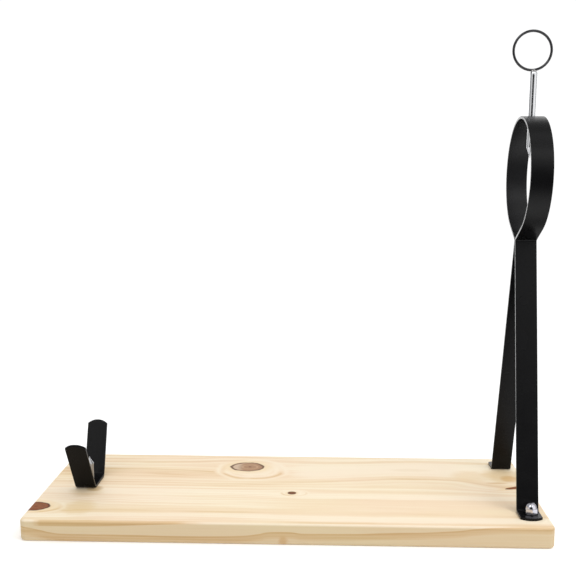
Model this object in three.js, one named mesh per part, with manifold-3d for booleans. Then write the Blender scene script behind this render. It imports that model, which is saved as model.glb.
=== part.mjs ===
// Ham holder stand: a pine board with a V-shaped steel rest at one end, which carries a spike for the thick
// end of the ham, and a tall steel collar at the other end, whose screw holds the hock.
// Millimetres, +Z up. X runs along the board towards the collar, and the origin is at the middle of the
// board's underside.
import * as THREE from 'three';
import { mergeVertices } from 'three/addons/utils/BufferGeometryUtils.js';
import Module from 'manifold-3d';

const wasm = await Module();
wasm.setup();

// Board
const boardLength = 600;
const boardWidth = 250;
const boardThickness = 25;
const boardCornerRadius = 8;
const boardEdgeRadius = 3;

// Flat steel strip that the collar and the rest are bent from
const stripWidth = 25;
const stripThickness = 3;
const stripTipRise = 5;
const stripTipRadius = ((stripWidth / 2) ** 2 + stripTipRise ** 2) / (2 * stripTipRise);

// Collar: two feet, two leaning legs, a pinch and a ring above it. Heights are above the board.
const collarX = 278;
const ringRadius = 67.5;
const ringHeight = 381.7;
const pinchHeight = 306.2;
const pinchGap = 0.4;
const legHalfSpread = 80;
const footReach = 105.5;
const footBoltY = 90;
const footBoltOffset = 1.4;
const tightBendRadius = 3.5;

// V-shaped rest
const restX = -250.5;
const restY = 6.2;
const restHalfBase = 22.9;
const restLean = THREE.MathUtils.degToRad(29.9);
const restArmLength = 74.8;
const restBendRadius = 7.6;
const restSkew = THREE.MathUtils.degToRad(1.8);

// Clamp screw. The eye ring is welded on slightly off the screw's axis.
const screwRadius = 4;
const screwBottom = 427;
const screwTop = 523.4;
const screwPointLength = 12.3;
const screwTopChamfer = 0.5;
const eyeOffset = -2.5;
const eyeRadius = 21.4;
const eyeWireRadius = 1.5;
const eyeHeight = 546.6;

// Hexagon hardware. A size names the thread; the rest are its standard sizes.
const m8 = { radius: 4, hex: 13, head: 5.3, nut: 6.5, washerRadius: 12, washerThickness: 2 };
const m10 = { radius: 5, hex: 17, head: 6.4, washerRadius: 15, washerThickness: 2.5 };
const capNutHexHeight = 7;
const capNutDomeRadius = 6.3;
const capNutBoreDepth = 9;
const boltEngagement = 8;
const spikeHeight = 33.7;
const spikePointAngle = THREE.MathUtils.degToRad(60);

// Clearances: between pieces that touch, around a shank, around a washer and under a bolt head
const gap = 0.3;
const shankClearance = 0.3;
const washerClearance = 1;
const headRecess = 1.1;

const roundSides = 32;
const bendStep = THREE.MathUtils.degToRad(5);

// How far a cutter stands past the face that it cuts
const overshoot = 1;

const pine = new THREE.MeshStandardMaterial({ color: 0xe9d6b0, roughness: 0.6, metalness: 0 });
const blackPaint = new THREE.MeshStandardMaterial({ color: 0x1c1c1d, roughness: 0.45, metalness: 0 });
const brightSteel = new THREE.MeshStandardMaterial({ color: 0xd8d9da, roughness: 0.15, metalness: 1 });
const zincSteel = new THREE.MeshStandardMaterial({ color: 0xa9acae, roughness: 0.4, metalness: 1 });

function solidOf(geometry) {
  const bare = geometry.clone();
  bare.deleteAttribute('normal');
  bare.deleteAttribute('uv');
  const merged = mergeVertices(bare, 1e-4);
  return new wasm.Manifold(new wasm.Mesh({
    numProp: 3,
    vertProperties: new Float32Array(merged.attributes.position.array),
    triVerts: new Uint32Array(merged.index.array),
  }));
}

function geometryOf(solid) {
  const mesh = solid.getMesh();
  const geometry = new THREE.BufferGeometry();
  geometry.setAttribute('position', new THREE.BufferAttribute(mesh.vertProperties, 3));
  geometry.setIndex(new THREE.BufferAttribute(mesh.triVerts, 1));
  return geometry;
}

function join(...geometries) {
  const solids = geometries.map(solidOf);
  return geometryOf(solids.reduce((whole, next) => whole.add(next)));
}

function cut(geometry, cutters) {
  return geometryOf(cutters.map(solidOf).reduce((whole, next) => whole.subtract(next), solidOf(geometry)));
}

// An upright cylinder or prism from one height to another.
function upright(radius, bottom, top, sides = roundSides) {
  const geometry = new THREE.CylinderGeometry(radius, radius, top - bottom, sides);
  geometry.rotateX(Math.PI / 2);
  geometry.translate(0, 0, (bottom + top) / 2);
  return geometry;
}

// Two of its flats face +Y and -Y.
function hexPrism(acrossFlats, bottom, top) {
  const geometry = upright(acrossFlats / Math.sqrt(3), bottom, top, 6);
  geometry.rotateZ(Math.PI / 6);
  return geometry;
}

// A turned piece about the Z axis, from points of radius and height.
function turned(points) {
  const geometry = new THREE.LatheGeometry(points.map(([r, z]) => new THREE.Vector2(r, z)), roundSides);
  geometry.rotateX(Math.PI / 2);
  return geometry;
}

function moved(geometry, x, y) {
  geometry.translate(x, y, 0);
  return geometry;
}

function mesh(name, geometry, material, x = 0, y = 0) {
  const piece = new THREE.Mesh(geometry, material);
  piece.name = name;
  piece.position.set(x, y, 0);
  return piece;
}

// A shape drawn in Y and Z becomes a solid of the strip's width along X.
function acrossStrip(shape) {
  const geometry = new THREE.ExtrudeGeometry(shape, { depth: stripWidth, bevelEnabled: false });
  geometry.translate(0, 0, -stripWidth / 2);
  const [x, y, z] = [new THREE.Vector3(1, 0, 0), new THREE.Vector3(0, 1, 0), new THREE.Vector3(0, 0, 1)];
  geometry.applyMatrix4(new THREE.Matrix4().makeBasis(y, z, x));
  return geometry;
}

// What the arc across a strip's end leaves off. The strip ends at `tip` and runs out along `direction`,
// both in Y and Z.
function tipCutter(tip, direction) {
  const reach = stripWidth / 2 + overshoot;
  const halfAngle = Math.asin(reach / stripTipRadius);
  const shape = new THREE.Shape();
  shape.moveTo(-reach, overshoot);
  shape.lineTo(reach, overshoot);
  shape.absarc(0, -stripTipRadius, stripTipRadius, Math.PI / 2 - halfAngle, Math.PI / 2 + halfAngle, false);
  const depth = stripThickness + 2 * overshoot;
  const geometry = new THREE.ExtrudeGeometry(shape, { depth, bevelEnabled: false, curveSegments: 16 });
  geometry.translate(0, 0, -depth / 2);
  const across = new THREE.Vector3(1, 0, 0);
  const along = new THREE.Vector3(0, direction.x, direction.y);
  const normal = new THREE.Vector3().crossVectors(across, along);
  geometry.applyMatrix4(new THREE.Matrix4().makeBasis(across, along, normal));
  geometry.translate(0, tip.x, tip.y);
  return geometry;
}

const heading = (angle) => new THREE.Vector2(Math.cos(angle), Math.sin(angle));

// A strip bent from end to end, the same on both sides of its middle. `half` lists the steps of its middle
// line from the first end: straight runs, and bends of a radius and an angle, positive to the left.
function bentStrip(tip, startAngle, half) {
  const left = [];
  const right = [];
  const place = tip.clone();
  let angle = startAngle;
  const mark = () => {
    const side = heading(angle + Math.PI / 2).multiplyScalar(stripThickness / 2);
    left.push(place.clone().add(side));
    right.push(place.clone().sub(side));
  };
  const bend = ({ radius, turn }) => {
    const count = Math.max(4, Math.ceil(Math.abs(turn) / bendStep));
    const chord = 2 * radius * Math.sin(Math.abs(turn) / count / 2);
    for (let i = 0; i < count; i += 1) {
      angle += turn / count / 2;
      place.addScaledVector(heading(angle), chord);
      angle += turn / count / 2;
      mark();
    }
  };
  mark();
  for (const step of [...half, ...half.slice().reverse()]) {
    if (step.run) {
      place.addScaledVector(heading(angle), step.run);
      mark();
    } else {
      bend(step);
    }
  }
  const strip = acrossStrip(new THREE.Shape([...left, ...right.reverse()]));
  const out = heading(startAngle + Math.PI);
  const otherTip = new THREE.Vector2(-tip.x, tip.y);
  const otherOut = new THREE.Vector2(-out.x, out.y);
  return cut(strip, [tipCutter(tip, out), tipCutter(otherTip, otherOut)]);
}

// The foot bolts stand a little off the strip's middle line.
const footBoltX = collarX + footBoltOffset;

// The length that a bend takes off each of the two straight runs beside it
const tangent = (radius, turn) => radius * Math.tan(turn / 2);

const boardTop = boardThickness;
const stripMiddle = boardTop + stripThickness / 2;
const stripTop = boardTop + stripThickness;

// Counterbore depths put each bolt head just inside the board's underside.
const counterbore = (size) => headRecess + size.head + gap + size.washerThickness + gap;

function boardGeometry() {
  const half = new THREE.Vector2(boardLength / 2, boardWidth / 2);
  const r = boardCornerRadius;
  const shape = new THREE.Shape();
  shape.absarc(half.x - r, half.y - r, r, 0, Math.PI / 2, false);
  shape.absarc(r - half.x, half.y - r, r, Math.PI / 2, Math.PI, false);
  shape.absarc(r - half.x, r - half.y, r, Math.PI, 1.5 * Math.PI, false);
  shape.absarc(half.x - r, r - half.y, r, 1.5 * Math.PI, 2 * Math.PI, false);
  const slab = new THREE.ExtrudeGeometry(shape, {
    depth: boardThickness - 2 * boardEdgeRadius,
    bevelThickness: boardEdgeRadius,
    bevelSize: boardEdgeRadius,
    bevelOffset: -boardEdgeRadius,
    bevelSegments: 4,
    curveSegments: 6,
  });
  slab.translate(0, 0, boardEdgeRadius);
  const bolts = [
    [footBoltX, footBoltY, m8],
    [footBoltX, -footBoltY, m8],
    [restX, restY, m10],
  ];
  const holes = bolts.flatMap(([x, y, size]) => [
    moved(upright(size.radius + shankClearance, -overshoot, boardTop + overshoot), x, y),
    moved(upright(size.washerRadius + washerClearance, -overshoot, counterbore(size)), x, y),
  ]);
  return cut(slab, holes);
}

// The ring and the pinch bend are joined by the straight line that touches both circles.
function collarGeometry() {
  const middleRadius = ringRadius - stripThickness / 2;
  const ringZ = boardTop + ringHeight;
  const pinchZ = boardTop + pinchHeight;
  const bendY = tightBendRadius + (stripThickness + pinchGap) / 2;
  const centres = Math.hypot(bendY, ringZ - pinchZ);
  const throat = Math.asin((middleRadius + tightBendRadius) / centres) - Math.atan2(bendY, ringZ - pinchZ);
  const throatRun = Math.sqrt(centres ** 2 - (middleRadius + tightBendRadius) ** 2);

  const slope = Math.atan2(legHalfSpread - bendY, pinchZ - stripTop);
  const cornerY = legHalfSpread - stripThickness / 2 / Math.cos(slope) + stripThickness / 2 * Math.tan(slope);
  const drop = Math.hypot(cornerY - bendY, pinchZ - stripMiddle);
  const lean = Math.atan2(cornerY - bendY, pinchZ - stripMiddle) + Math.asin(tightBendRadius / drop);
  const legRun = Math.sqrt(drop ** 2 - tightBendRadius ** 2);
  const footTurn = Math.PI / 2 - lean;
  const footTrim = tangent(tightBendRadius, footTurn);

  const strip = bentStrip(new THREE.Vector2(-footReach, stripMiddle), 0, [
    { run: footReach - cornerY - footTrim },
    { radius: tightBendRadius, turn: footTurn },
    { run: legRun - footTrim },
    { radius: tightBendRadius, turn: lean + throat },
    { run: throatRun },
    { radius: middleRadius, turn: -(Math.PI / 2 + throat) },
  ]);
  const screwHole = upright(screwRadius + 2 * shankClearance, ringZ, ringZ + ringRadius + overshoot);
  const boltHole = () => upright(m8.radius + shankClearance, boardTop - overshoot, stripTop + overshoot);
  return cut(strip, [
    screwHole,
    moved(boltHole(), footBoltOffset, footBoltY),
    moved(boltHole(), footBoltOffset, -footBoltY),
  ]);
}

function restGeometry() {
  const turn = Math.PI / 2 - restLean;
  const halfBase = restHalfBase - tangent(stripThickness / 2, turn);
  const arm = restArmLength - tangent(stripThickness / 2, turn);
  const trim = tangent(restBendRadius, turn);
  const tip = new THREE.Vector2(
    -halfBase - arm * Math.sin(restLean),
    stripMiddle + arm * Math.cos(restLean),
  );
  const strip = bentStrip(tip, -turn, [
    { run: arm - trim },
    { radius: restBendRadius, turn },
    { run: halfBase - trim },
  ]);
  // The bends are not quite square to the strip, so both arms also lean towards the board's end.
  const skew = Math.tan(restSkew);
  strip.applyMatrix4(new THREE.Matrix4().makeShear(0, 0, 0, 0, -skew, 0));
  strip.translate(skew * stripMiddle, 0, 0);
  return cut(strip, [upright(m10.radius + shankClearance, boardTop - overshoot, stripTop + overshoot)]);
}

// A bolt that stands head down in its counterbore and ends in a point, or in a chamfer down to `pointRadius`.
function boltGeometry(size, shankTop, pointLength, pointRadius) {
  const head = hexPrism(size.hex, headRecess, headRecess + size.head);
  const shank = turned([
    [0, headRecess + size.head / 2],
    [size.radius, headRecess + size.head / 2],
    [size.radius, shankTop - pointLength],
    [pointRadius, shankTop],
    ...(pointRadius > 0 ? [[0, shankTop]] : []),
  ]);
  return join(head, shank);
}

function washerGeometry(size) {
  const bottom = headRecess + size.head + gap;
  const top = bottom + size.washerThickness;
  const hole = size.radius + shankClearance;
  return turned([
    [hole, bottom],
    [size.washerRadius, bottom],
    [size.washerRadius, top],
    [hole, top],
    [hole, bottom],
  ]);
}

// Tightened so that two of its corners face +Y and -Y
function capNutGeometry() {
  const seat = stripTop + gap;
  const shoulder = seat + capNutHexHeight;
  const steps = 6;
  const dome = [[0, shoulder - overshoot], [capNutDomeRadius, shoulder - overshoot]];
  for (let i = 0; i < steps; i += 1) {
    const angle = i / steps * Math.PI / 2;
    dome.push([capNutDomeRadius * Math.cos(angle), shoulder + capNutDomeRadius * Math.sin(angle)]);
  }
  dome.push([0, shoulder + capNutDomeRadius]);
  const body = join(hexPrism(m8.hex, seat, shoulder), turned(dome));
  body.rotateZ(Math.PI / 6);
  return cut(body, [upright(m8.radius + shankClearance, seat - overshoot, seat + capNutBoreDepth)]);
}

// The nut that the clamp screw turns in hangs from the top of the ring, on the inside, where the ring curves
// down to its two sides.
function threadNutGeometry() {
  const innerRadius = ringRadius - stripThickness;
  const top = boardTop + ringHeight + Math.sqrt(innerRadius ** 2 - (m8.hex / 2) ** 2) - gap;
  const bottom = top - m8.nut;
  const bore = upright(screwRadius + shankClearance, bottom - overshoot, top + overshoot);
  return cut(hexPrism(m8.hex, bottom, top), [bore]);
}

function clampRodGeometry() {
  return turned([
    [0, screwBottom],
    [screwRadius, screwBottom + screwPointLength],
    [screwRadius, screwTop - screwTopChamfer],
    [screwRadius - screwTopChamfer, screwTop],
    [0, screwTop],
  ]);
}

function eyeRingGeometry() {
  const geometry = new THREE.TorusGeometry(eyeRadius, eyeWireRadius, 12, 64);
  geometry.rotateX(Math.PI / 2);
  geometry.translate(0, 0, eyeHeight);
  return geometry;
}

const stand = new THREE.Group();
stand.add(mesh('base_board', boardGeometry(), pine));
stand.add(mesh('collar_frame', collarGeometry(), blackPaint, collarX, 0));
stand.add(mesh('collar_thread_nut', threadNutGeometry(), blackPaint, collarX, 0));
stand.add(mesh('clamp_rod', clampRodGeometry(), brightSteel, collarX, 0));
stand.add(mesh('clamp_eye_ring', eyeRingGeometry(), brightSteel, collarX + eyeOffset, 0));

const boltTop = stripTop + gap + boltEngagement;
for (const [side, y] of [['front', -footBoltY], ['rear', footBoltY]]) {
  stand.add(mesh(`${side}_foot_bolt`, boltGeometry(m8, boltTop, 1, m8.radius - 1), zincSteel, footBoltX, y));
  stand.add(mesh(`${side}_foot_washer`, washerGeometry(m8), zincSteel, footBoltX, y));
  stand.add(mesh(`${side}_cap_nut`, capNutGeometry(), brightSteel, footBoltX, y));
}

const spikeTop = boardTop + spikeHeight;
const spikePointLength = m10.radius / Math.tan(spikePointAngle / 2);
stand.add(mesh('v_bracket', restGeometry(), blackPaint, restX, restY));
stand.add(mesh('v_spike_bolt', boltGeometry(m10, spikeTop, spikePointLength, 0), brightSteel, restX, restY));
stand.add(mesh('v_spike_washer', washerGeometry(m10), zincSteel, restX, restY));

export default stand;
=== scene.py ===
import math

import bmesh
import bpy
from mathutils import Matrix, Vector, noise


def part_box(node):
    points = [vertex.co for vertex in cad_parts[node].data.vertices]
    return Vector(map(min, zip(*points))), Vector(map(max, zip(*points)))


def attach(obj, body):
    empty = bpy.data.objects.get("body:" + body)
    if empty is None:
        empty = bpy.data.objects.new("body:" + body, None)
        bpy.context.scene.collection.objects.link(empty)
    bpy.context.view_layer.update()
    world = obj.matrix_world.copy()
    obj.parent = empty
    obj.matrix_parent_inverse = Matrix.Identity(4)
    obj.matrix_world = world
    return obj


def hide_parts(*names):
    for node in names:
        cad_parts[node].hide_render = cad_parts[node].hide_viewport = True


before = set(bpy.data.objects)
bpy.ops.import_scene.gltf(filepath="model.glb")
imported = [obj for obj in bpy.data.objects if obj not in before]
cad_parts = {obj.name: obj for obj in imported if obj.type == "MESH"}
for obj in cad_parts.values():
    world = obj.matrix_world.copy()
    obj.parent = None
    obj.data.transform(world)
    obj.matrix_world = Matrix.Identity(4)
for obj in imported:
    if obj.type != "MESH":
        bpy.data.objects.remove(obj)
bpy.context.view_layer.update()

MM = 0.001

# ---------------------------------------------------------------- places, from the frame

BOARD_LOW, BOARD_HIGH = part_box("base_board")
COLLAR_LOW, COLLAR_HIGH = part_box("collar_frame")
ROD_LOW, ROD_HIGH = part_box("clamp_rod")
EYE_LOW, EYE_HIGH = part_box("clamp_eye_ring")
NUT_LOW, NUT_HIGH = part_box("collar_thread_nut")


def middle_of(low, high):
    """The middle of a box in X and Y."""
    return (low.x + high.x) / 2, (low.y + high.y) / 2


BOARD_TOP = BOARD_HIGH.z
COLLAR_X = middle_of(COLLAR_LOW, COLLAR_HIGH)[0]
REST_X, REST_Y = middle_of(*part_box("v_spike_bolt"))
FOOT_BOLT_X, FOOT_BOLT_Y = middle_of(*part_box("rear_cap_nut"))
STRIP_WIDTH = COLLAR_HIGH.x - COLLAR_LOW.x
STRIP_THICKNESS = 3 * MM
RING_RADIUS = 67.5 * MM
RING_Z = COLLAR_HIGH.z - RING_RADIUS

# Threaded hardware: shank radius, head height, pitch, and the radius of the hole that it passes through.
M8 = {"radius": 4 * MM, "head": 5.3 * MM, "pitch": 1.25 * MM, "hole": 4.3 * MM}
M10 = {"radius": 5 * MM, "head": 6.4 * MM, "pitch": 1.5 * MM, "hole": 5.3 * MM}

# ---------------------------------------------------------------- small mesh tools


def piece_from_mesh(name, mesh, body, replaced=()):
    """A mesh becomes a piece that rides on a body and stands for CAD nodes, which it hides."""
    piece = bpy.data.objects.new(name, mesh)
    bpy.context.scene.collection.objects.link(piece)
    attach(piece, body)
    if replaced:
        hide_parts(*replaced)
    return piece


def mesh_from(name, points, faces):
    mesh = bpy.data.meshes.new(name)
    mesh.from_pydata([tuple(p) for p in points], [], faces)
    mesh.update()
    return mesh


def smooth(mesh, sharp_degrees=35):
    """Smooth shading, with edges sharper than an angle kept sharp."""
    work = bmesh.new()
    work.from_mesh(mesh)
    bmesh.ops.remove_doubles(work, verts=work.verts, dist=1e-7)
    bmesh.ops.recalc_face_normals(work, faces=work.faces)
    for face in work.faces:
        face.smooth = True
    for edge in work.edges:
        if len(edge.link_faces) == 2:
            edge.smooth = edge.calc_face_angle(0) < math.radians(sharp_degrees)
    work.to_mesh(mesh)
    work.free()
    return mesh


def weigh_normals(piece):
    """Large flat faces keep flat shading beside small rounded ones."""
    modifier = piece.modifiers.new("weighted", "WEIGHTED_NORMAL")
    modifier.keep_sharp = True
    modifier.weight = 100


def loft(rings, closed_ends=True):
    """Points and faces of a skin over rings that all have the same number of points."""
    count = len(rings[0])
    points = [p for ring in rings for p in ring]
    faces = []
    for r in range(len(rings) - 1):
        for i in range(count):
            j = (i + 1) % count
            faces.append((r * count + i, r * count + j, (r + 1) * count + j, (r + 1) * count + i))
    if closed_ends:
        faces.append(tuple(reversed(range(count))))
        faces.append(tuple(range((len(rings) - 1) * count, len(rings) * count)))
    return points, faces


def turned(name, profile, centre=(0, 0), sides=64):
    """A turned piece about an upright axis: `profile` is points of radius and height, from end to end."""
    rings = [
        [
            (
                centre[0] + r * math.cos(2 * math.pi * i / sides),
                centre[1] + r * math.sin(2 * math.pi * i / sides),
                z,
            )
            for i in range(sides)
        ]
        for r, z in profile
    ]
    return mesh_from(name, *loft(rings))


def cut_away(piece, cutters):
    """Cuts closed meshes out of a piece."""
    for number, mesh in enumerate(cutters):
        cutter = bpy.data.objects.new(f"cutter{number}", mesh)
        bpy.context.scene.collection.objects.link(cutter)
        modifier = piece.modifiers.new(f"cut{number}", "BOOLEAN")
        modifier.object = cutter
        modifier.operation = "DIFFERENCE"
        modifier.solver = "EXACT"
    bpy.context.view_layer.update()
    evaluated = piece.evaluated_get(bpy.context.evaluated_depsgraph_get())
    result = bpy.data.meshes.new_from_object(evaluated)
    for modifier in list(piece.modifiers):
        if modifier.type == "BOOLEAN":
            cutter = modifier.object
            piece.modifiers.remove(modifier)
            bpy.data.objects.remove(cutter)
    piece.data = result


# ---------------------------------------------------------------- materials


class Wire:
    """A node's output. Python arithmetic on it makes Math nodes."""

    def __init__(self, graph, socket):
        self.graph = graph
        self.socket = socket

    def __add__(self, other):
        return self.graph.math("ADD", self, other)

    def __radd__(self, other):
        return self.graph.math("ADD", other, self)

    def __sub__(self, other):
        return self.graph.math("SUBTRACT", self, other)

    def __rsub__(self, other):
        return self.graph.math("SUBTRACT", other, self)

    def __mul__(self, other):
        return self.graph.math("MULTIPLY", self, other)

    def __rmul__(self, other):
        return self.graph.math("MULTIPLY", other, self)

    def __truediv__(self, other):
        return self.graph.math("DIVIDE", self, other)

    def __pow__(self, other):
        return self.graph.math("POWER", self, other)


class Graph:
    """A node tree, with short calls for the nodes that the materials use."""

    def __init__(self, tree):
        self.tree = tree

    def feed(self, socket, value):
        if isinstance(value, Wire):
            self.tree.links.new(value.socket, socket)
        else:
            socket.default_value = value

    def node(self, kind, inputs=(), output=0, **settings):
        made = self.tree.nodes.new(kind)
        for key, value in settings.items():
            setattr(made, key, value)
        for key, value in dict(inputs).items():
            self.feed(made.inputs[key], value)
        return Wire(self, made.outputs[output])

    def math(self, operation, *values):
        return self.node("ShaderNodeMath", dict(enumerate(values)), operation=operation)

    def split(self, vector):
        parts = self.tree.nodes.new("ShaderNodeSeparateXYZ")
        self.feed(parts.inputs[0], vector)
        return [Wire(self, parts.outputs[i]) for i in range(3)]

    def vector(self, x, y, z):
        return self.node("ShaderNodeCombineXYZ", {0: x, 1: y, 2: z})

    def noise(self, x, y, z, detail=2.0, roughness=0.5):
        """Noise from 0 to 1, one blob to a unit."""
        inputs = {
            "Vector": self.vector(x, y, z),
            "Scale": 1.0,
            "Detail": detail,
            "Roughness": roughness,
            "Distortion": 0.0,
        }
        return self.node("ShaderNodeTexNoise", inputs)

    def ramp(self, value, low, high):
        """0 below low, 1 above high, with a soft step between."""
        return self.node(
            "ShaderNodeMapRange",
            {"Value": value, "From Min": low, "From Max": high},
            interpolation_type="SMOOTHSTEP",
        )

    def mix(self, factor, one, other, blend="MIX"):
        made = self.tree.nodes.new("ShaderNodeMix")
        made.data_type = "RGBA"
        made.blend_type = blend
        self.feed(made.inputs["Factor"], factor)
        self.feed(made.inputs[6], one)
        self.feed(made.inputs[7], other)
        return Wire(self, made.outputs[2])

    def bell(self, value, centre, half):
        """1 at the centre, and falling away smoothly on both sides of it."""
        return self.math("EXPONENT", ((value - centre) / half) ** 2.0 * -1.0)

    def oval(self, x, y, half):
        """How far out a place lies in an oval with these half sizes: 0 in the middle, 1 on the outline."""
        return self.math("SQRT", (x / half[0]) ** 2.0 + (y / half[1]) ** 2.0)

    def bump(self, height, distance):
        return self.node("ShaderNodeBump", {"Height": height, "Distance": distance, "Strength": 1.0})


def srgb(red, green, blue):
    """A colour given as 0 to 255 on the screen, as the shader's linear values."""

    def linear(value):
        value /= 255
        return value / 12.92 if value <= 0.04045 else ((value + 0.055) / 1.055) ** 2.4

    return (linear(red), linear(green), linear(blue), 1.0)


def new_material(name):
    material = bpy.data.materials.new(name)
    material.use_nodes = True
    shader = material.node_tree.nodes["Principled BSDF"]
    return material, Graph(material.node_tree), shader


def object_place(graph):
    """X, Y and Z in millimetres."""
    place = graph.node("ShaderNodeTexCoord", output=3)
    return [axis * (1 / MM) for axis in graph.split(place)]


# The wood is described in millimetres, along the board in X and across it in Y from its middle.
HALF_LENGTH = BOARD_HIGH.x / MM
THICKNESS = BOARD_TOP / MM
# Knots: centre, half sizes, how far each is turned in degrees, and how far off the grain bends round it.
KNOTS = [
    {"at": (-57, 75.5), "size": (21.7, 18), "turn": 0, "reach": (80, 44), "bend": 0.6, "kind": "grey"},
    {"at": (5, -23.7), "size": (5.2, 5), "turn": 0, "reach": (40, 14), "bend": 0.6, "kind": "dark"},
    {"at": (-296, -81), "size": (19.5, 14), "turn": 4, "reach": (60, 30), "bend": 0.7, "kind": "red"},
    {"at": (286, 7.5), "size": (19, 3.9), "turn": 21, "reach": (60, 22), "bend": 0.7, "kind": "red"},
]
# Closed loops of grain round the knots: centre and half lengths.
LOOPS = [
    {"at": (-50, 63), "size": (42, 37)},
    {"at": (8, -24), "size": (16, 10.5)},
    {"at": (-300, -81), "size": (36, 21)},
]
# Broad soft bands of paler and darker wood, from the front edge to the rear one: how far across the board,
# and how dark, from 0 for the palest cream to 1 for tan. One list for each end.
BANDS_REACH = 130.0
LEFT_BANDS = [
    (-125, 1.0), (-120, 0.6), (-115, 0.5), (-110, 0.25), (-99, 0.15), (-92, 0.65), (-84, 0.5), (-74, 0.3),
    (-46, 0.25), (-40, 0.35), (-34, 0.12), (-16, 0.08), (-12, 0.5), (-7, 0.1), (1, 0.6), (5, 0.35), (9, 0.7),
    (15, 0.35), (19, 0.6), (24, 0.25), (32, 0.6), (46, 0.85), (54, 0.62), (62, 0.8), (71, 0.2), (79, 0.55),
    (85, 0.2), (92, 0.75), (98, 0.2), (104, 0.7), (110, 0.2), (118, 0.7),
]
RIGHT_BANDS = [
    (-125, 0.9), (-119, 0.75), (-114, 0.15), (-99, 0.12), (-93, 0.62), (-86, 0.5), (-70, 0.42), (-54, 0.4),
    (-45, 0.5), (-38, 0.12), (-26, 0.1), (-17, 0.48), (-11, 0.3), (-6, 0.08), (0, 0.5), (4, 0.25), (8, 0.45),
    (12, 0.2), (15, 0.25), (18, 0.8), (24, 0.6), (34, 0.15), (60, 0.03), (86, 0.1), (94, 0.55), (99, 0.15),
    (108, 0.15), (117, 0.6),
]
# Soft patches mixed into the wood, stains and darker or yellower patches, and two that are painted contact
# shadow in front of the rest's base: centre, half lengths, strength and colour.
STAINS_AND_SHADOWS = [
    ((-242, -82), (20, 26), 0.5, (218, 190, 140)),
    ((-215, -90), (60, 7), 0.4, (220, 194, 148)),
    # Darker patches round the rear leg's foot.
    ((236, 48), (30, 24), 0.45, (224, 195, 150)),
    ((274, 52), (26, 32), 0.45, (214, 176, 108)),
    ((281, 40), (12, 15), 0.5, (200, 152, 80)),
    # Painted contact shadow in front of the rest's base, under its front arm.
    ((-239, -17), (11, 11), 0.65, (172, 138, 84)),
    ((-247, -30), (22, 18), 0.32, (206, 176, 118)),
    ((158, 70), (30, 7), 0.28, (220, 198, 164)),
    ((262, 23), (14, 3), 0.6, (206, 164, 104)),
]
# The pith, which the growth rings curve round, lies under the board.
PITH_Y = -70.0
PITH_Z = -60.0
# The band of darker wood on the front face: how far along the board, and the height of its upper edge.
FRONT_EDGE = [
    (-300, 17.7), (-288, 16), (-275, 13.2), (-262, 10.4), (-250, 9.2), (-215, 9), (-150, 9.2), (-80, 9.2),
    (-52, 9.9), (-30, 12.4), (-12, 15.2), (5, 15.4), (20, 13.8), (60, 14), (100, 15.4), (150, 17.3),
    (190, 19.6), (212, 22.4), (240, 24.6), (300, 25),
]


def ring_level(g, y, z):
    """Where the growth ring at a place comes up at the top, as a distance across the board."""
    from_pith = y - PITH_Y
    under = from_pith ** 2.0 + (z - PITH_Z) ** 2.0 - (THICKNESS - PITH_Z) ** 2.0
    reach = g.math("SQRT", g.math("MAXIMUM", under, 0.0)) * g.math("SIGN", from_pith)
    deep = g.math("SQRT", g.math("MAXIMUM", under * -1.0, 0.0))
    return reach + PITH_Y - deep * 0.8


def wandering_grain(g, x, level):
    """The grain wanders slowly along the board, and rises and falls again before the collar."""
    wander = (g.noise(x / 170, level / 60, 0.3, detail=1.5) - 0.5) * 6.0
    ripple = (g.noise(x / 38, level / 12, 5.0, detail=1.0) - 0.5) * 3.2
    hump = g.bell(x, 160.0, 90.0) * g.ramp(level, -5.0, 25.0)
    hump = hump * (1.0 - g.ramp(level, 50.0, 90.0) * 0.5) * 15.0
    slump = g.ramp(x, 200.0, 275.0) * g.bell(level, 22.0, 24.0) * 20.0
    lift = g.ramp(x, 40.0, 240.0) * g.ramp(level, 50.0, 95.0) * 6.0
    return level + wander + ripple - hump + slump - lift


def bend_round_knots(g, x, y, z, across):
    """The grain bent away round each knot, and how far inside, along and across each knot a place lies."""
    fields = []
    for number, knot in enumerate(KNOTS):
        from_x, from_y = x - knot["at"][0], y - knot["at"][1]
        near = (from_x / knot["reach"][0]) ** 2.0 + (from_y / knot["reach"][1]) ** 2.0
        across = across - from_y * g.math("EXPONENT", near * -1.0) * knot["bend"]
        turn = math.radians(knot["turn"])
        along = from_x * math.cos(turn) + from_y * math.sin(turn)
        aside = from_y * math.cos(turn) - from_x * math.sin(turn)
        wobble = (g.noise(x / 11, y / 9, number * 5.0 + z / 40, detail=2.0) - 0.5) * 0.22
        inside = g.oval(along, aside, knot["size"]) + wobble
        if knot["kind"] == "red":
            inside = inside + g.ramp(z, 24.5, 13.0) * 1.5
        fields.append((knot, inside, along, aside))
    return across, fields


def bands(g, across, stops):
    """A soft profile of darkness over the distance across the board."""
    ramp = g.node("ShaderNodeValToRGB", {"Fac": (across + BANDS_REACH) / (2 * BANDS_REACH)})
    curve = ramp.socket.node.color_ramp
    curve.interpolation = "CARDINAL"
    while len(curve.elements) < len(stops):
        curve.elements.new(0.5)
    for element, (at, dark) in zip(curve.elements, stops):
        element.position = (at + BANDS_REACH) / (2 * BANDS_REACH)
        element.color = (dark, dark, dark, 1)
    return g.split(ramp)[0]


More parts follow.
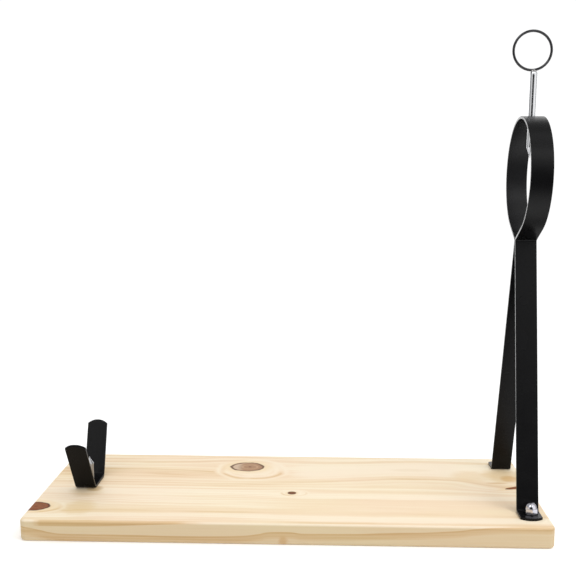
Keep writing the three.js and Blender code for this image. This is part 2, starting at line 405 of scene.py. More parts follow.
def draw_loops(g, x, y, shade):
    """The closed loops beside the knots, drawn unevenly and stronger on their lower side."""
    for number, loop in enumerate(LOOPS):
        from_x, from_y = x - loop["at"][0], y - loop["at"][1]
        out = g.oval(from_x, from_y, loop["size"])
        out = out + (g.noise(x / 40, y / 30, 30.0 + number, detail=0.0) - 0.5) * 0.24
        uneven = g.ramp(g.noise(x / 24, y / 24, 40.0 + number, detail=0.0), 0.3, 0.62)
        lower = 0.25 + g.ramp(from_y / loop["size"][1], 0.4, -0.5) * 0.75
        inner = 0.06 + g.bell(out, 0.95, 0.1) * (0.35 + uneven * 0.55) * lower
        inner = inner + g.bell(out, 0.68, 0.07) * uneven * lower * 0.35
        cover = g.ramp(out, 1.25, 1.05)
        shade = shade * (1.0 - cover) + inner * cover
    return shade


def top_shade(g, x, y, across):
    """How dark the wood is: the bands of the two ends, then fine rings, then the loops."""
    which_end = g.ramp(x + (g.noise(x / 60, y / 25, 9.0) - 0.5) * 60.0, -50.0, 40.0)
    shade = bands(g, across, LEFT_BANDS) * (1.0 - which_end) + bands(g, across, RIGHT_BANDS) * which_end
    fade = g.noise(x / 130, across / 22, 6.0, detail=1.0)
    shade = shade * (0.75 + g.ramp(fade, 0.25, 0.7) * 0.45)
    fine = g.noise(x / 220, across / 3.1, 2.0, detail=2.0)
    shade = shade + (g.ramp(fine, 0.3, 0.75) - 0.45) * (0.46 - which_end * 0.24)
    return draw_loops(g, x, y, shade)


def front_shade(g, x, z):
    """How dark the front face is, which cuts the rings lengthwise and so has bands of its own."""
    curve = g.node("ShaderNodeFloatCurve", {"Value": (x + HALF_LENGTH) / (2 * HALF_LENGTH)})
    mapping = curve.socket.node.mapping
    points = mapping.curves[0].points
    while len(points) < len(FRONT_EDGE):
        points.new(0.5, 0.5)
    for point, (at, height) in zip(points, FRONT_EDGE):
        point.location = ((at + HALF_LENGTH) / (2 * HALF_LENGTH), height / THICKNESS)
    mapping.update()
    below = curve * THICKNESS - z + (g.noise(x / 55, z / 14, 3.0, detail=1.0) - 0.5) * 1.6
    thick = 6.0 + g.ramp(x, -120.0, -260.0) * 2.0
    face = g.ramp(below, -0.7, 0.6) * (0.72 + g.ramp(below, 2.4, 0.4) * 0.25)
    face = face * (0.15 + g.ramp(below - thick, 3.5, -1.5) * 0.85)
    upper = (1.0 - g.ramp(x, -130.0, -80.0)) * g.ramp(x, -288.0, -274.0) * 0.95
    face = face + upper * g.ramp(z - g.ramp(x, -240.0, -100.0) * 4.5, 17.6, 19.2)
    fine = g.noise(x / 200, z / 1.5, 8.0, detail=2.0)
    return face + (g.ramp(fine, 0.35, 0.75) - 0.35) * 0.3


def wood_colour(g, x, y, z, shade):
    """Pale cream, warm cream and tan, by how dark the wood is. The sides are painted a little darker than
    the top, as painted shade.
    """
    warm = g.noise(x / 150, y / 45, z / 45 + 11.0, detail=1.0)
    pale = g.mix(g.ramp(warm, 0.35, 0.7), srgb(237, 224, 199), srgb(237, 221, 197))
    middle = g.mix(g.ramp(warm, 0.35, 0.7), srgb(230, 210, 177), srgb(231, 208, 178))
    tan = g.mix(g.ramp(warm, 0.3, 0.7), srgb(215, 187, 141), srgb(217, 186, 145))
    wood = g.mix(g.ramp(shade, 0.0, 0.5), pale, middle)
    wood = g.mix(g.ramp(shade, 0.5, 1.05), wood, tan)
    # Painted shade: the sides below the top's edge are darkened.
    return g.mix(g.ramp(z, 24.5, 22.0) * 0.9, wood, srgb(225, 217, 198), blend="MULTIPLY")


def draw_bud(g, x, z, front, wood):
    """The small brown bud that the front face cuts."""
    bud = g.oval(x + 2.0, z - 4.5, (5.5, 6.0))
    bud = bud + (g.noise(x / 3, z / 5, 15.0, detail=2.0) - 0.5) * 0.7
    return g.mix(g.ramp(bud, 1.4, 0.3) * front * 0.5, wood, srgb(190, 142, 86))


# The soft patches: stains, and painted contact shadow in front of the rest's base.
def draw_stains_and_shadows(g, x, y, wood):
    for at, size, strength, colour in STAINS_AND_SHADOWS:
        near = ((x - at[0]) / size[0]) ** 2.0 + ((y - at[1]) / size[1]) ** 2.0
        near = near + (g.noise(x / 14, y / 5, 20.0 + strength, detail=1.0) - 0.5) * 0.8
        wood = g.mix(g.ramp(near, 1.3, 0.1) * strength, wood, srgb(*colour))
    return wood


def knot_colours(g, kind, along, aside, off):
    """A knot's heart and its rim: grey-brown and ringed, dark and small, or red-brown."""
    rings = g.noise(off * 7.0, 1.5, 2.0, detail=1.0)
    if kind == "dark":
        return g.mix(g.ramp(rings, 0.3, 0.7), srgb(120, 74, 40), srgb(94, 52, 26)), srgb(82, 44, 26)
    grain = g.noise(along / 5, aside / 1.6, 4.0, detail=3.0)
    if kind == "grey":
        heart = g.mix(g.ramp(rings, 0.35, 0.65), srgb(164, 127, 97), srgb(200, 168, 136))
        heart = g.mix(g.ramp(grain, 0.45, 0.75) * 0.4, heart, srgb(136, 98, 70))
        heart = g.mix(g.ramp(along, -4.0, -14.0) * 0.6, heart, srgb(206, 188, 166))
        heart = g.mix(g.ramp(off, 0.16, 0.05), heart, srgb(122, 84, 60))
        return heart, srgb(92, 58, 38)
    heart = g.mix(g.ramp(rings, 0.3, 0.7), srgb(134, 76, 38), srgb(106, 52, 24))
    heart = g.mix(g.ramp(grain, 0.4, 0.7) * 0.5, heart, srgb(152, 92, 54))
    return heart, srgb(84, 38, 20)


def draw_knots(g, fields, wood):
    """Each knot has a yellowish halo, a heart and a darker rim."""
    for knot, inside, along, aside in fields:
        wood = g.mix(g.ramp(inside, 1.9, 1.0) * 0.4, wood, srgb(222, 188, 128))
        length = knot["size"][0]
        off = g.math("SQRT", (along - length * 0.15) ** 2.0 + (aside * 1.15) ** 2.0) / length
        heart, rim = knot_colours(g, knot["kind"], along, aside, off)
        heart = g.mix(g.ramp(inside, 0.8, 0.97), heart, rim)
        wood = g.mix(g.ramp(inside, 1.07, 0.97), wood, heart)
    return wood


def pine_material():
    """Planed pine: growth rings, bands, loops and knots, with fine fibres and specks of resin."""
    material, g, shader = new_material("pine_wood")
    x, y, z = object_place(g)
    across = wandering_grain(g, x, ring_level(g, y, z))
    across, fields = bend_round_knots(g, x, y, z, across)
    front = g.ramp(y, -121.5, -123.5)
    shade = top_shade(g, x, y, across) * (1.0 - front) + front_shade(g, x, z) * front
    strand = g.noise(x / 140, y / 1.9, z / 1.9, detail=2.0)
    shade = shade + (strand - 0.5) * 0.16
    wood = wood_colour(g, x, y, z, shade)
    wood = draw_bud(g, x, z, front, wood)
    wood = draw_stains_and_shadows(g, x, y, wood)
    fibre = g.noise(x / 55, y / 0.55, z / 0.55, detail=3.0, roughness=0.6)
    wood = g.mix(g.ramp(fibre, 0.5, 0.85) * 0.12, wood, srgb(186, 152, 108))
    resin = g.noise(x / 9, y / 0.35, z / 0.35 + 2.0, detail=1.0)
    wood = g.mix(g.ramp(resin, 0.72, 0.82) * 0.2, wood, srgb(176, 138, 92))
    g.feed(shader.inputs["Base Color"], draw_knots(g, fields, wood))
    shader.inputs["Roughness"].default_value = 0.55
    shader.inputs["Specular IOR Level"].default_value = 0.1
    relief = shade * 0.35 + fibre * 0.5 + resin * 0.15
    g.feed(shader.inputs["Normal"], g.bump(relief, 0.08 * MM))
    return material


def paint_material(name, specular):
    """Satin black enamel over steel, with a faint orange peel."""
    material, g, shader = new_material(name)
    x, y, z = object_place(g)
    peel = g.noise(x / 0.9, y / 0.9, z / 0.9, detail=2.0, roughness=0.55)
    broad = g.noise(x / 24, y / 24, z / 24, detail=3.0)
    colour = g.mix(broad, srgb(11, 11, 12), srgb(16, 16, 17))
    # Painted light: inside the collar's ring the enamel is made lighter and greyer, standing in for light
    # that falls on the inside.
    ring_z, wall = RING_Z / MM, (RING_RADIUS - STRIP_THICKNESS / 2) / MM
    from_ring = g.math("SQRT", y ** 2.0 + (z - ring_z) ** 2.0)
    painted_inner_light = g.ramp(from_ring, wall + 0.4, wall - 0.4) * g.ramp(z, ring_z - 70.7, ring_z - 56.7)
    colour = g.mix(painted_inner_light * (0.6 + broad * 0.5), colour, srgb(31, 31, 32))
    g.feed(shader.inputs["Base Color"], colour)
    g.feed(shader.inputs["Roughness"], g.ramp(broad, 0.2, 0.8) * 0.08 + 0.22)
    shader.inputs["Specular IOR Level"].default_value = specular
    g.feed(shader.inputs["Normal"], g.bump(peel, 0.06 * MM))
    return material


def bright_material(name, colour, roughness):
    """Plated steel, with fine marks that run round the piece."""
    material, g, shader = new_material(name)
    x, y, z = object_place(g)
    marks = g.noise(x / 6, y / 6, z / 0.25, detail=2.0)
    haze = g.noise(x / 9, y / 9, z / 9, detail=3.0)
    dull = tuple(c * 0.93 for c in colour[:3]) + (1.0,)
    g.feed(shader.inputs["Base Color"], g.mix(haze, colour, dull))
    shader.inputs["Metallic"].default_value = 1.0
    g.feed(shader.inputs["Roughness"], g.ramp(haze, 0.3, 0.8) * 0.06 + roughness)
    g.feed(shader.inputs["Normal"], g.bump(marks, 0.012 * MM))
    return material


pine = pine_material()
black = paint_material("black_enamel", 0.14)
rest_black = paint_material("rest_enamel", 0.09)
chrome = bright_material("bright_plate", srgb(221, 222, 224), 0.1)
nut_plate = bright_material("nut_plate", srgb(214, 213, 221), 0.13)
steel = bright_material("turned_steel", srgb(172, 172, 173), 0.1)
zinc = bright_material("zinc_plate", srgb(188, 191, 194), 0.32)
# The eye ring's wire: a plated finish much darker than the rod's chrome.
dark_wire = bright_material("darkened_wire", srgb(84, 84, 86), 0.12)
weld_metal = bright_material("weld_bead", srgb(176, 174, 172), 0.3)

# ---------------------------------------------------------------- bent steel strips

STRIP_EDGE = 0.45 * MM
TIP_RISE = 5 * MM
TIP_RADIUS = ((STRIP_WIDTH / 2) ** 2 + TIP_RISE**2) / (2 * TIP_RISE)
TIP_STEPS = 14
BEND_STEP = math.radians(3)
CORNER_STEPS = 4


def strip_section(half_width, half_thickness):
    """The strip's cross-section: a rectangle with small round corners, as offsets across and through."""
    corner = min(STRIP_EDGE, 0.9 * half_width, 0.9 * half_thickness)
    points = []
    for number, (side, face) in enumerate([(1, 1), (-1, 1), (-1, -1), (1, -1)]):
        for step in range(CORNER_STEPS + 1):
            angle = math.pi / 2 * (number + step / CORNER_STEPS)
            across = side * (half_width - corner) + corner * math.cos(angle)
            through = face * (half_thickness - corner) + corner * math.sin(angle)
            points.append((across, through))
    return points


def strip_walk(tip, start_angle, half):
    """Marks along a strip's middle line in Y and Z, each a place and an angle, as the CAD strip is bent."""
    place = Vector(tip)
    angle = start_angle
    marks = [(place.copy(), angle)]

    def ahead(length):
        place.x += length * math.cos(angle)
        place.y += length * math.sin(angle)

    for kind, size, turn in [*half, *reversed(half)]:
        if kind == "run":
            ahead(size)
            marks.append((place.copy(), angle))
            continue
        count = max(6, math.ceil(abs(turn) / BEND_STEP))
        for _ in range(count):
            angle += turn / count / 2
            ahead(2 * size * math.sin(abs(turn) / count / 2))
            angle += turn / count / 2
            marks.append((place.copy(), angle))
    return marks


def tip_stations(tip, inward, angle):
    """Places, angles, half widths and half thicknesses over the round end of a strip."""
    stations = []
    widest = math.asin(STRIP_WIDTH / 2 / TIP_RADIUS)
    for step in range(TIP_STEPS + 1):
        swing = widest * (step + 0.4) / (TIP_STEPS + 0.4)
        depth = TIP_RADIUS * (1 - math.cos(swing))
        half_thickness = STRIP_THICKNESS / 2
        if depth < STRIP_EDGE:
            half_thickness -= STRIP_EDGE - math.sqrt(STRIP_EDGE**2 - (STRIP_EDGE - depth) ** 2)
        stations.append((tip + inward * depth, angle, TIP_RADIUS * math.sin(swing), half_thickness))
    return stations


def strip_mesh(name, x, y, tip, start_angle, half):
    marks = strip_walk(tip, start_angle, half)
    full = (STRIP_WIDTH / 2, STRIP_THICKNESS / 2)
    first, last = marks[0], marks[-1]
    into_first = (marks[1][0] - first[0]).normalized()
    into_last = (marks[-2][0] - last[0]).normalized()
    stations = tip_stations(first[0], into_first, first[1])
    stations += [(place, angle, *full) for place, angle in marks[1:-1]]
    stations += reversed(tip_stations(last[0], into_last, last[1]))
    rings = []
    for place, angle, half_width, half_thickness in stations:
        rings.append(
            [
                (
                    x + across,
                    y + place.x - through * math.sin(angle),
                    place.y + through * math.cos(angle),
                )
                for across, through in strip_section(half_width, half_thickness)
            ]
        )
    return smooth(mesh_from(name, *loft(rings)))


def bend_trim(radius, turn):
    return radius * math.tan(turn / 2)


STRIP_MIDDLE = BOARD_TOP + STRIP_THICKNESS / 2
STRIP_TOP = BOARD_TOP + STRIP_THICKNESS
PINCH_Z = BOARD_TOP + 306.2 * MM
PINCH_GAP = 0.4 * MM
LEG_SPREAD = 80 * MM
TIGHT_BEND = 3.5 * MM
REST_HALF_BASE = 22.9 * MM
REST_LEAN = math.radians(29.9)
REST_BEND = 7.6 * MM
REST_ARM = 74.8 * MM
REST_SKEW = math.tan(math.radians(1.8))
HOLE_CHAMFER = 0.4 * MM
SCREW_HOLE = 4.6 * MM


def hole_cutter(name, x, y, radius, low, high):
    """A drill with a small countersink at both faces, which stand at low and high."""
    past = 1 * MM
    profile = [
        (radius + HOLE_CHAMFER + past, low - past),
        (radius, low + HOLE_CHAMFER),
        (radius, high - HOLE_CHAMFER),
        (radius + HOLE_CHAMFER + past, high + past),
    ]
    return turned(name, profile, (x, y), sides=48)


def make_collar():
    middle = RING_RADIUS - STRIP_THICKNESS / 2
    bend_y = TIGHT_BEND + (STRIP_THICKNESS + PINCH_GAP) / 2
    rise = RING_Z - PINCH_Z
    centres = math.hypot(bend_y, rise)
    throat = math.asin((middle + TIGHT_BEND) / centres) - math.atan2(bend_y, rise)
    throat_run = math.sqrt(centres**2 - (middle + TIGHT_BEND) ** 2)
    slope = math.atan2(LEG_SPREAD - bend_y, PINCH_Z - STRIP_TOP)
    half_thickness = STRIP_THICKNESS / 2
    corner_y = LEG_SPREAD - half_thickness / math.cos(slope) + half_thickness * math.tan(slope)
    drop = math.hypot(corner_y - bend_y, PINCH_Z - STRIP_MIDDLE)
    lean = math.atan2(corner_y - bend_y, PINCH_Z - STRIP_MIDDLE) + math.asin(TIGHT_BEND / drop)
    leg_run = math.sqrt(drop**2 - TIGHT_BEND**2)
    foot_turn = math.pi / 2 - lean
    trim = bend_trim(TIGHT_BEND, foot_turn)
    reach = COLLAR_HIGH.y
    half = [
        ("run", reach - corner_y - trim, 0),
        ("bend", TIGHT_BEND, foot_turn),
        ("run", leg_run - trim, 0),
        ("bend", TIGHT_BEND, lean + throat),
        ("run", throat_run, 0),
        ("bend", middle, -(math.pi / 2 + throat)),
    ]
    mesh = strip_mesh("collar_strip", COLLAR_X, 0, (-reach, STRIP_MIDDLE), 0, half)
    mesh.materials.append(black)
    collar = piece_from_mesh("collar_strip", mesh, "stand", ["collar_frame"])
    through_top = [(SCREW_HOLE, RING_Z + RING_RADIUS / 2), (SCREW_HOLE, RING_Z + 2 * RING_RADIUS)]
    cutters = [turned("screw_hole", through_top, (COLLAR_X, 0))]
    for y in (-FOOT_BOLT_Y, FOOT_BOLT_Y):
        cutters.append(hole_cutter("foot_hole", FOOT_BOLT_X, y, M8["hole"], BOARD_TOP, STRIP_TOP))
    cut_away(collar, cutters)
    smooth(collar.data)
    weigh_normals(collar)


def make_rest():
    turn = math.pi / 2 - REST_LEAN
    off_corner = bend_trim(STRIP_THICKNESS / 2, turn)
    half_base = REST_HALF_BASE - off_corner
    arm = REST_ARM - off_corner
    trim = bend_trim(REST_BEND, turn)
    tip = (-half_base - arm * math.sin(REST_LEAN), STRIP_MIDDLE + arm * math.cos(REST_LEAN))
    half = [("run", arm - trim, 0), ("bend", REST_BEND, turn), ("run", half_base - trim, 0)]
    mesh = strip_mesh("rest_strip", REST_X, REST_Y, tip, -turn, half)
    for vertex in mesh.vertices:
        vertex.co.x -= REST_SKEW * (vertex.co.z - STRIP_MIDDLE)
    mesh.materials.append(rest_black)
    rest = piece_from_mesh("rest_strip", mesh, "stand", ["v_bracket"])
    cut_away(rest, [hole_cutter("spike_hole", REST_X, REST_Y, M10["hole"], BOARD_TOP, STRIP_TOP)])
    smooth(rest.data)
    weigh_normals(rest)


# ---------------------------------------------------------------- hexagon hardware, screws and the eye ring

HEX_SIDES = 144
HEX_SHARPNESS = 60


def hex_radius(angle, across, turned_by=0.0):
    """The outline of a hexagon with slightly rounded corners. Two of its flats face +Y and -Y at first."""
    total = 0.0
    for flat in range(6):
        facing = math.cos(angle - turned_by - math.radians(30 + 60 * flat))
        total += max(facing, 0.0) ** HEX_SHARPNESS
    return across / 2 * total ** (-1 / HEX_SHARPNESS)


def hex_rings(x, y, across, low, high, turned_by=0.0):
    """Rings of a hexagon nut's body, from its lower face to its upper one, with 30 degree chamfers."""
    face_radius = 0.475 * across
    slope = math.tan(math.radians(30))
    rings = [[], [], [], []]
    for i in range(HEX_SIDES):
        angle = 2 * math.pi * i / HEX_SIDES
        radius = hex_radius(angle, across, turned_by)
        chamfer = max(0.0, radius - face_radius) * slope + 0.05 * MM
        inner = min(radius, face_radius)
        for ring, (r, z) in zip(
            rings, [(inner, low), (radius, low + chamfer), (radius, high - chamfer), (inner, high)]
        ):
            ring.append((x + r * math.cos(angle), y + r * math.sin(angle), z))
    return rings


def round_ring(x, y, radius, z, sides=HEX_SIDES):
    turn = 2 * math.pi / sides
    return [(x + radius * math.cos(turn * i), y + radius * math.sin(turn * i), z) for i in range(sides)]


def make_cap_nut(side):
    low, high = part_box(f"{side}_cap_nut")
    x, y = middle_of(low, high)
    shoulder = low.z + 7 * MM
    dome = high.z - shoulder
    rings = hex_rings(x, y, high.x - low.x, low.z, shoulder, math.radians(30))
    steps = 14
    for step in range(steps):
        angle = math.pi / 2 * step / steps
        rings.append(round_ring(x, y, 0.97 * dome * math.cos(angle), shoulder + dome * math.sin(angle)))
    mesh = smooth(mesh_from(f"{side}_dome_nut", *loft(rings)), 25)
    mesh.materials.append(nut_plate)
    nut = piece_from_mesh(f"{side}_dome_nut", mesh, "stand", [f"{side}_cap_nut"])
    weigh_normals(nut)


def thread_rings(x, y, radius, low, high, pitch, depth, sides=36, steps=10):
    """Rings over a right-hand rolled thread, with flat crests, that fades out at both ends."""
    crest, root, fade = 0.66, 0.08, 1.2 * pitch
    flank = (1 - crest - root) / 2
    rings = []
    count = round((high - low) / pitch * steps)
    for level in range(count + 1):
        z = low + (high - low) * level / count
        ending = min(1.0, (z - low) / fade, (high - z) / fade)
        ring = []
        for i in range(sides):
            angle = 2 * math.pi * i / sides
            phase = (z / pitch - angle / (2 * math.pi)) % 1.0
            if phase < crest:
                drop = 0.0
            elif phase < crest + flank:
                drop = (phase - crest) / flank
            elif phase < crest + flank + root:
                drop = 1.0
            else:
                drop = (1 - phase) / flank
            r = radius - depth * drop * ending
            ring.append((x + r * math.cos(angle), y + r * math.sin(angle), z))
        rings.append(ring)
    return rings


THREAD_SIDES = 48
ROD_POINT = 12.3 * MM
SPIKE_POINT = 8.66 * MM
NUT_BORE = 4.25 * MM


def make_clamp_rod():
    x, y = middle_of(ROD_LOW, ROD_HIGH)
    radius = (ROD_HIGH.x - ROD_LOW.x) / 2
    shoulder = ROD_LOW.z + ROD_POINT
    plain = ROD_HIGH.z - 5 * MM

    def ring(r, z):
        return round_ring(x, y, r, z, THREAD_SIDES)

    rings = [ring(0.25 * MM, ROD_LOW.z), ring(0.5 * MM, ROD_LOW.z + 0.25 * MM)]
    rings += [ring(radius * share, ROD_LOW.z + ROD_POINT * share) for share in (0.3, 0.6, 0.9, 0.97)]
    rings += thread_rings(x, y, radius, shoulder, plain, M8["pitch"], 0.06 * MM, THREAD_SIDES)
    rings += [ring(radius, ROD_HIGH.z - 0.5 * MM), ring(radius - 0.5 * MM, ROD_HIGH.z)]
    mesh = smooth(mesh_from("clamp_screw_rod", *loft(rings)), 50)
    mesh.materials.append(chrome)
    piece_from_mesh("clamp_screw_rod", mesh, "clamp_screw", ["clamp_rod"])


def make_eye_ring():
    x, y = middle_of(EYE_LOW, EYE_HIGH)
    z = (EYE_LOW.z + EYE_HIGH.z) / 2
    wire = (EYE_HIGH.y - EYE_LOW.y) / 2
    radius = (EYE_HIGH.x - EYE_LOW.x) / 2 - wire
    around, section = 160, 24
    rings = []
    for i in range(around):
        a = 2 * math.pi * i / around
        ring = []
        for j in range(section):
            b = 2 * math.pi * j / section
            r = radius + wire * math.cos(b)
            ring.append((x + r * math.cos(a), y + wire * math.sin(b), z + r * math.sin(a)))
        rings.append(ring)
    mesh = smooth(mesh_from("eye_ring_wire", *loft(rings + rings[:1], closed_ends=False)))
    mesh.materials.append(dark_wire)
    piece_from_mesh("eye_ring_wire", mesh, "clamp_eye", ["clamp_eye_ring"])


# The same lumps every time.
noise.seed_set(1)


def lumpy(point, amount, size):
    """A point nudged by smooth noise, for weld beads."""
    return Vector(point) + noise.noise_vector(Vector(point) / size) * amount


def make_eye_weld():
    """The small bead that joins the eye ring to the top of the rod."""
    x = middle_of(ROD_LOW, ROD_HIGH)[0] - 0.3 * MM
    low, high = ROD_HIGH.z - 0.5 * MM, EYE_LOW.z + 2.6 * MM
    rings = []
    steps = 10
    for step in range(steps + 1):
        share = step / steps
        swell = math.sin(math.pi * (0.16 + 0.8 * share)) ** 0.6
        ring = []
        for i in range(40):
            a = 2 * math.pi * i / 40
            point = (
                x + 3.3 * MM * swell * math.cos(a),
                2.3 * MM * swell * math.sin(a),
                low + (high - low) * share,
            )
            ring.append(lumpy(point, 0.18 * MM, 1.4 * MM))
        rings.append(ring)
    mesh = smooth(mesh_from("eye_ring_weld", *loft(rings)), 60)
    mesh.materials.append(weld_metal)
    piece_from_mesh("eye_ring_weld", mesh, "clamp_eye")


def make_thread_nut():
    x, y = middle_of(NUT_LOW, NUT_HIGH)
    across = NUT_HIGH.y - NUT_LOW.y
    rings = hex_rings(x, y, across, NUT_LOW.z, NUT_HIGH.z)
    mesh = smooth(mesh_from("ring_thread_nut", *loft(rings)), 25)
    mesh.materials.append(black)
    nut = piece_from_mesh("ring_thread_nut", mesh, "stand", ["collar_thread_nut"])
    bore = [(NUT_BORE, NUT_LOW.z - MM), (NUT_BORE, NUT_HIGH.z + MM)]
    cut_away(nut, [turned("nut_bore", bore, (x, y), 48)])
    smooth(nut.data, 25)
    weigh_normals(nut)


def make_nut_weld():
    """The painted weld bead between the nut and the ring."""
    x, y = middle_of(NUT_LOW, NUT_HIGH)
    across = NUT_HIGH.y - NUT_LOW.y
    around, section = 96, 10
    inner = RING_RADIUS - STRIP_THICKNESS
    rings = []
    for i in range(around):
        a = 2 * math.pi * i / around
        middle = hex_radius(a, across) + 0.1 * MM
        ring = []
        for j in range(section):
            b = 2 * math.pi * j / section
            r = middle + 1.1 * MM * math.cos(b)
            px, py = x + r * math.cos(a), y + r * math.sin(a)
            roof = RING_Z + math.sqrt(inner**2 - py**2)
            pz = roof - 0.55 * MM + 0.9 * MM * math.sin(b)
            ring.append(lumpy((px, py, pz), 0.25 * MM, 1.5 * MM))
        rings.append(ring)
    mesh = smooth(mesh_from("ring_nut_weld", *loft(rings + rings[:1], closed_ends=False)), 60)
    mesh.materials.append(black)
    piece_from_mesh("ring_nut_weld", mesh, "stand")


def make_bolt(node, name, material, thread, point=0):
    """A bolt that stands on its hexagon head. `point` is the length of a sharp point, or 0 for a chamfer."""
    radius, head, pitch = thread["radius"], thread["head"], thread["pitch"]
    low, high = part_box(node)
    x, y = middle_of(low, high)
    across = high.y - low.y

    def ring(r, z):
        return round_ring(x, y, r, z)

    rings = hex_rings(x, y, across, low.z, low.z + head)
    rings.append(ring(radius, low.z + head + 0.02 * MM))
    shoulder = high.z - (point or 1 * MM)
    rings += thread_rings(x, y, radius, low.z + head + 4 * MM, shoulder, pitch, 0.35 * pitch, HEX_SIDES)
    if point:
        rings += [ring(radius * (1 - share), shoulder + point * share) for share in (0.04, 0.3, 0.6, 0.9)]
        rings.append(ring(0.3 * MM, high.z - 0.2 * MM))
        rings.append(ring(0.12 * MM, high.z))
    else:
        rings.append(ring(radius - 1 * MM, high.z))
    mesh = smooth(mesh_from(name, *loft(rings)), 50)
    mesh.materials.append(material)
    bolt = piece_from_mesh(name, mesh, "stand", [node])
    weigh_normals(bolt)


def make_washer(node, name, hole):
    low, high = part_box(node)
    x, y = middle_of(low, high)
    radius = (high.x - low.x) / 2
    edge = 0.3 * MM
    rings = [
        round_ring(x, y, r, z, 96)
        for r, z in [
            (hole, low.z + edge),
            (hole + edge, low.z),
            (radius - edge, low.z),
            (radius, low.z + edge),
            (radius, high.z - edge),
            (radius - edge, high.z),
            (hole + edge, high.z),
            (hole, high.z - edge),
            (hole, low.z + edge),
        ]
    ]
    mesh = smooth(mesh_from(name, *loft(rings, closed_ends=False)), 60)
    mesh.materials.append(zinc)
    washer = piece_from_mesh(name, mesh, "stand", [node])
    weigh_normals(washer)


# ---------------------------------------------------------------- the board

BOARD_CORNER = 8 * MM
BOARD_EDGE = 3 * MM


def board_outline(inset, z):
    """A rounded rectangle of the board's size, drawn in by inset, at a height."""
    half_x, half_y = BOARD_HIGH.x - BOARD_CORNER, BOARD_HIGH.y - BOARD_CORNER
    radius = BOARD_CORNER - inset
    steps = 12
    ring = []
    for number, (side_x, side_y) in enumerate([(1, 1), (-1, 1), (-1, -1), (1, -1)]):
        for step in range(steps + 1):
            angle = math.pi / 2 * (number + step / steps)
            ring.append(
                (
                    side_x * half_x + radius * math.cos(angle),
                    side_y * half_y + radius * math.sin(angle),
                    z,
                )
            )
    return ring


def make_board():
    steps = 8
    rings = []
    for step in range(steps + 1):
        angle = math.pi / 2 * step / steps
        inset = BOARD_EDGE * (1 - math.sin(angle))
        rings.append(board_outline(inset, BOARD_LOW.z + BOARD_EDGE * (1 - math.cos(angle))))
    for step in range(steps + 1):
        angle = math.pi / 2 * step / steps
        inset = BOARD_EDGE * (1 - math.cos(angle))
        rings.append(board_outline(inset, BOARD_HIGH.z - BOARD_EDGE * (1 - math.sin(angle))))
    mesh = mesh_from("pine_board", *loft(rings))
    mesh.materials.append(pine)
    board = piece_from_mesh("pine_board", mesh, "stand", ["base_board"])
    cutters = []
    fasteners = [
        ("front_foot_washer", M8["hole"]),
        ("rear_foot_washer", M8["hole"]),
        ("v_spike_washer", M10["hole"]),
    ]
    for node, hole in fasteners:
        low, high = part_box(node)
        x, y = middle_of(low, high)
        bore = (high.x - low.x) / 2 + 1 * MM
        seat = high.z + 0.3 * MM
        bevel = 0.5 * MM
        profile = [
            (bore + bevel, BOARD_LOW.z - bevel),
            (bore + bevel, BOARD_LOW.z),
            (bore, BOARD_LOW.z + bevel),
            (bore, seat),
            (hole, seat),
            (hole, BOARD_TOP + MM),
        ]
        cutters.append(turned("counterbore", profile, (x, y), 64))
    cut_away(board, cutters)
    smooth(board.data)
    weigh_normals(board)


make_board()
make_collar()
make_rest()
make_clamp_rod()
make_eye_ring()
make_eye_weld()
make_thread_nut()
make_nut_weld()
for side in ("front", "rear"):
    make_cap_nut(side)
    make_bolt(f"{side}_foot_bolt", f"{side}_hex_bolt", zinc, M8)
    make_washer(f"{side}_foot_washer", f"{side}_flat_washer", M8["hole"])
make_bolt("v_spike_bolt", "spike_bolt", steel, M10, SPIKE_POINT)
make_washer("v_spike_washer", "spike_flat_washer", M10["hole"])

# ---------------------------------------------------------------- camera, light and floor


def make_camera():
    data = bpy.data.cameras.new("camera")
    data.sensor_width = 36.0
    data.lens = 57.37
    data.shift_y = 0.0965
    camera = bpy.data.objects.new("camera", data)
    bpy.context.scene.collection.objects.link(camera)
    yaw, pitch, roll = math.radians(1.904), math.radians(-10.5), math.radians(0.152)
    turn = Matrix.Rotation(yaw, 4, "Z") @ Matrix.Rotation(math.radians(90) + pitch, 4, "X")
    place = Matrix.Translation((0.0352, -1.0926, 0.4088))
    camera.matrix_world = place @ turn @ Matrix.Rotation(roll, 4, "Z")
    bpy.context.scene.camera = camera


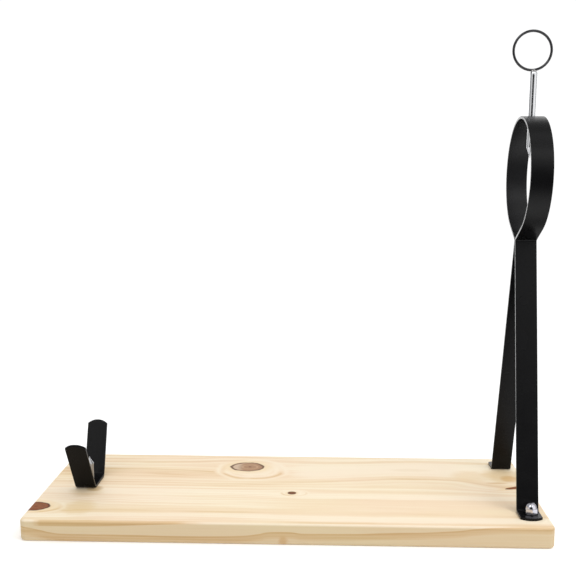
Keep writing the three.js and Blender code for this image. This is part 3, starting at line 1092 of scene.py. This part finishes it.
def make_world():
    """A pale studio. In reflections it is dark on the camera's side, with bright screens round it."""
    world = bpy.data.worlds.new("studio")
    bpy.context.scene.world = world
    world.use_nodes = True
    g = Graph(world.node_tree)
    x, y, z = g.split(g.node("ShaderNodeTexCoord", output=0))
    # Both in degrees. The azimuth is 0 towards the camera and grows to the right.
    azimuth = g.math("ARCTAN2", x, y * -1.0) * (180 / math.pi)
    height = g.math("ARCSINE", z) * (180 / math.pi)

    def patch(at, half, outer, inner):
        """1 inside an oval patch and 0 outside it, with a soft edge."""
        return g.ramp(g.oval(azimuth - at[0], height - at[1], half), outer, inner)

    def screen(at, outer, inner):
        """1 inside an upright screen and 0 outside it, with soft edges."""
        return g.ramp(g.math("ABSOLUTE", azimuth - at), outer, inner)

    dark = patch((-10.0, -22.0), (36.0, 56.0), 1.15, 0.85)
    dark = g.math("MAXIMUM", dark, patch((-3.0, 20.0), (13.0, 42.0), 1.15, 0.85))
    dark = g.math("MAXIMUM", dark, patch((-9.0, 20.0), (15.0, 24.0), 1.1, 0.85))
    rear = g.ramp(g.math("ABSOLUTE", azimuth), 142.0, 156.0)
    low_rear = rear * g.ramp(height, -18.0, -10.0) * g.ramp(height, 13.0, 8.0)
    high_rear = rear * g.ramp(height, 10.0, 15.0) * g.ramp(height, 50.0, 40.0)
    upper_left = patch((-30.0, 46.0), (30.0, 16.0), 1.1, 0.8)
    gloss = 0.42 + screen(57.0, 41.0, 34.0) * 0.75 + screen(-52.0, 26.0, 18.0) * 0.45
    gloss = gloss + low_rear * 2.2 + upper_left * 2.6
    gloss = g.math("MAXIMUM", gloss * (1.0 - dark * 0.97), 0.02)
    ground = g.ramp(height, -16.0, -50.0) * g.ramp(azimuth, 46.0, 22.0) * g.ramp(azimuth, -120.0, -80.0)
    window = screen(16.0, 15.0, 5.0) * g.ramp(height, 9.0, 26.0) * g.ramp(height, 62.0, 44.0)
    window = window * (0.75 + g.ramp(height, 26.0, 40.0))
    gloss = gloss + ground * 1.3 + window + high_rear * 0.9
    soft = 0.5 + g.ramp(z, 0.1, 0.9) * 0.72

    rays = g.node("ShaderNodeLightPath").socket.node.outputs
    glossy, seen = Wire(g, rays["Is Glossy Ray"]), Wire(g, rays["Is Camera Ray"])
    level = glossy * gloss + (1.0 - glossy) * soft
    level = level * (1.0 - seen) + seen * 1.05
    background = world.node_tree.nodes["Background"]
    background.inputs["Color"].default_value = (1, 1, 1, 1)
    g.feed(background.inputs["Strength"], level)


def make_light():
    """A large soft box over the stand, a little to the right of it."""
    data = bpy.data.lights.new("soft_box", "AREA")
    data.shape = "RECTANGLE"
    data.size, data.size_y = 0.9, 0.7
    data.energy = 6.5
    light = bpy.data.objects.new("soft_box", data)
    bpy.context.scene.collection.objects.link(light)
    light.location = (0.85, -0.55, 1.3)
    light.rotation_euler = (Vector((0, 0, 0)) - light.location).to_track_quat("-Z", "Y").to_euler()
    light.visible_glossy = False


def make_floor():
    mesh = mesh_from("floor", [(-4, -4, 0), (4, -4, 0), (4, 4, 0), (-4, 4, 0)], [(0, 1, 2, 3)])
    floor = bpy.data.objects.new("floor", mesh)
    bpy.context.scene.collection.objects.link(floor)
    material, _, shader = new_material("floor_paper")
    shader.inputs["Base Color"].default_value = (0.95, 0.95, 0.95, 1)
    shader.inputs["Roughness"].default_value = 0.9
    shader.inputs["Emission Color"].default_value = (1, 1, 1, 1)
    shader.inputs["Emission Strength"].default_value = 0.14
    mesh.materials.append(material)
    floor.visible_glossy = False


make_camera()
make_world()
make_light()
make_floor()
bpy.context.scene.view_settings.view_transform = "Standard"
